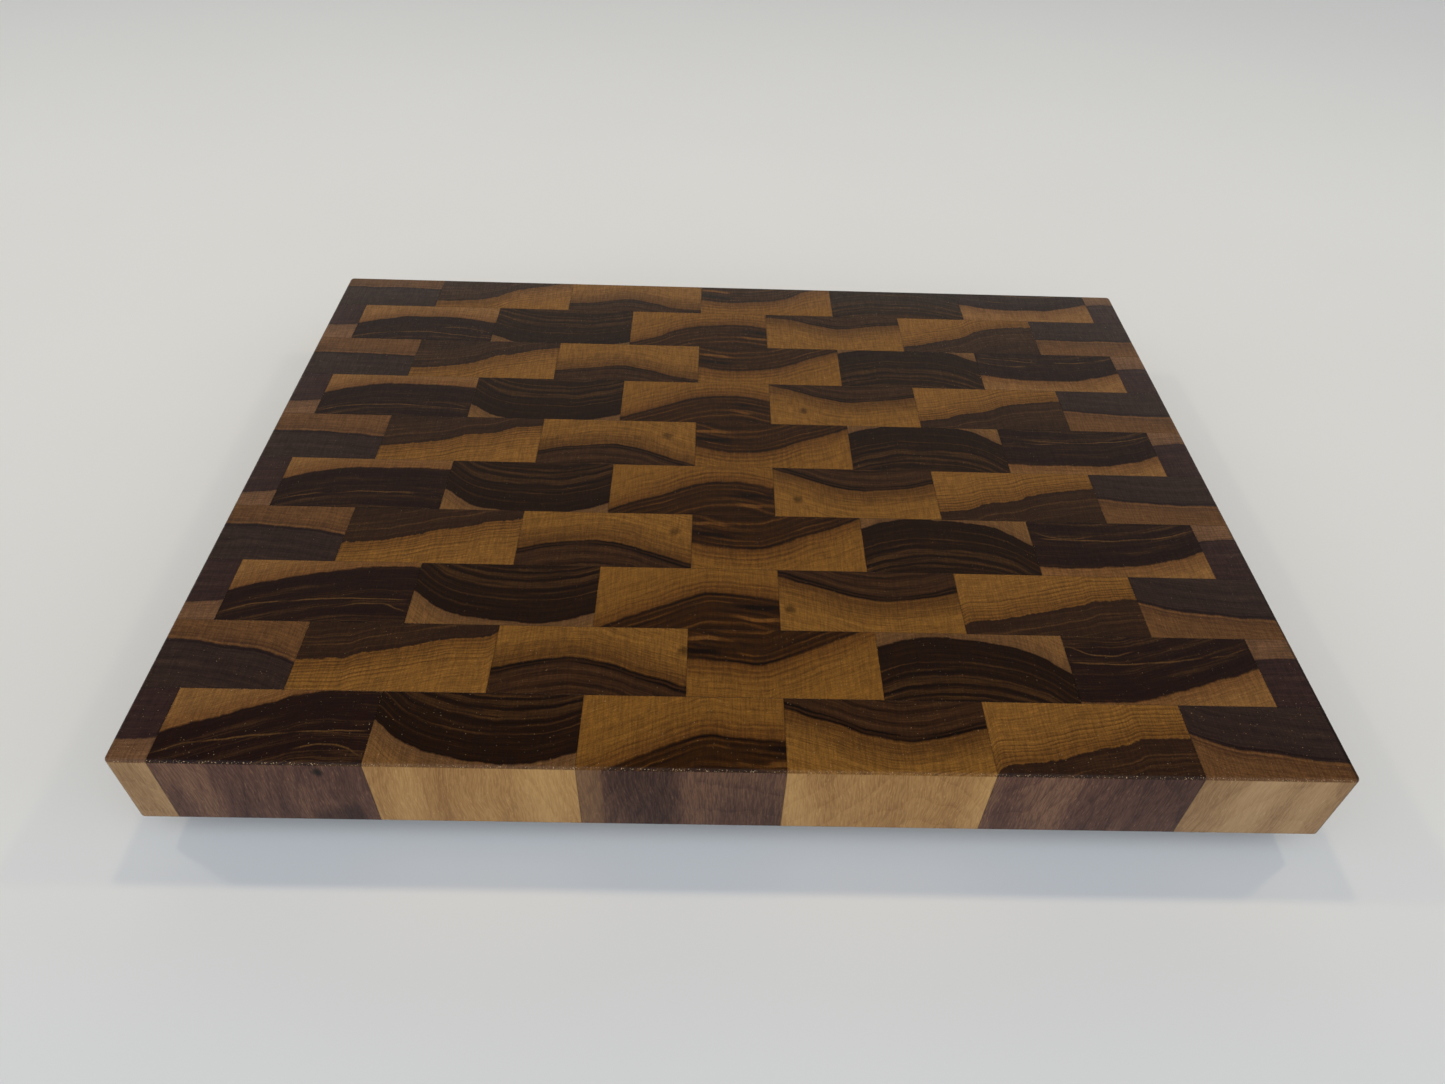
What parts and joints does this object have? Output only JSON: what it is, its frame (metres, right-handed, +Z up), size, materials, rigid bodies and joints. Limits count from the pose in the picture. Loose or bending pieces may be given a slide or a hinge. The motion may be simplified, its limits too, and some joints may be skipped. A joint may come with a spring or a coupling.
{
  "type": "end-grain cutting board",
  "caption": "Thick rectangular end-grain walnut cutting board, glued from staggered blocks and raised off the worktop on screwed-on rubber feet.",
  "frame": {"origin": "on the floor under the centre of the board", "axes": "+X along the long side, +Y from the front edge to the back edge, +Z up"},
  "size_m": [0.6096, 0.4552, 0.0698],
  "materials": {
    "walnut_heartwood": "satin oiled end grain",
    "walnut_sapwood": "satin oiled end grain",
    "walnut_mixed": "satin oiled end grain",
    "black_rubber": "matte moulded",
    "stainless_steel": "satin"
  },
  "bodies": {
    "root": {"foot_screw_back_left": "stainless_steel", "foot_screw_back_right": "stainless_steel", "foot_screw_front_left": "stainless_steel", "foot_screw_front_right": "stainless_steel", "row_01_block_c": "walnut_heartwood", "row_01_block_d": "walnut_sapwood", "row_01_block_e": "walnut_mixed", "row_01_blocks_ab": "walnut_heartwood", "row_01_blocks_fg": "walnut_mixed", "row_02_block_c": "walnut_heartwood", "row_02_block_d": "walnut_sapwood", "row_02_block_e": "walnut_mixed", "row_02_blocks_ab": "walnut_heartwood", "row_02_blocks_fg": "walnut_mixed", "row_03_block_c": "walnut_heartwood", "row_03_block_d": "walnut_sapwood", "row_03_block_e": "walnut_mixed", "row_03_blocks_ab": "walnut_heartwood", "row_03_blocks_fg": "walnut_mixed", "row_04_block_c": "walnut_heartwood", "row_04_block_d": "walnut_sapwood", "row_04_block_e": "walnut_mixed", "row_04_blocks_ab": "walnut_heartwood", "row_04_blocks_fg": "walnut_mixed", "row_05_block_c": "walnut_heartwood", "row_05_block_d": "walnut_sapwood", "row_05_block_e": "walnut_mixed", "row_05_blocks_ab": "walnut_heartwood", "row_05_blocks_fg": "walnut_mixed", "row_06_block_c": "walnut_heartwood", "row_06_block_d": "walnut_sapwood", "row_06_block_e": "walnut_mixed", "row_06_blocks_ab": "walnut_heartwood", "row_06_blocks_fg": "walnut_mixed", "row_07_block_c": "walnut_heartwood", "row_07_block_d": "walnut_sapwood", "row_07_block_e": "walnut_mixed", "row_07_blocks_ab": "walnut_heartwood", "row_07_blocks_fg": "walnut_mixed", "row_08_block_c": "walnut_heartwood", "row_08_block_d": "walnut_sapwood", "row_08_block_e": "walnut_mixed", "row_08_blocks_ab": "walnut_heartwood", "row_08_blocks_fg": "walnut_mixed", "row_09_block_c": "walnut_heartwood", "row_09_block_d": "walnut_sapwood", "row_09_block_e": "walnut_mixed", "row_09_blocks_ab": "walnut_heartwood", "row_09_blocks_fg": "walnut_mixed", "row_10_block_c": "walnut_heartwood", "row_10_block_d": "walnut_sapwood", "row_10_block_e": "walnut_mixed", "row_10_blocks_ab": "walnut_heartwood", "row_10_blocks_fg": "walnut_mixed", "rubber_foot_back_left": "black_rubber", "rubber_foot_back_right": "black_rubber", "rubber_foot_front_left": "black_rubber", "rubber_foot_front_right": "black_rubber"}
  },
  "joints": []
}
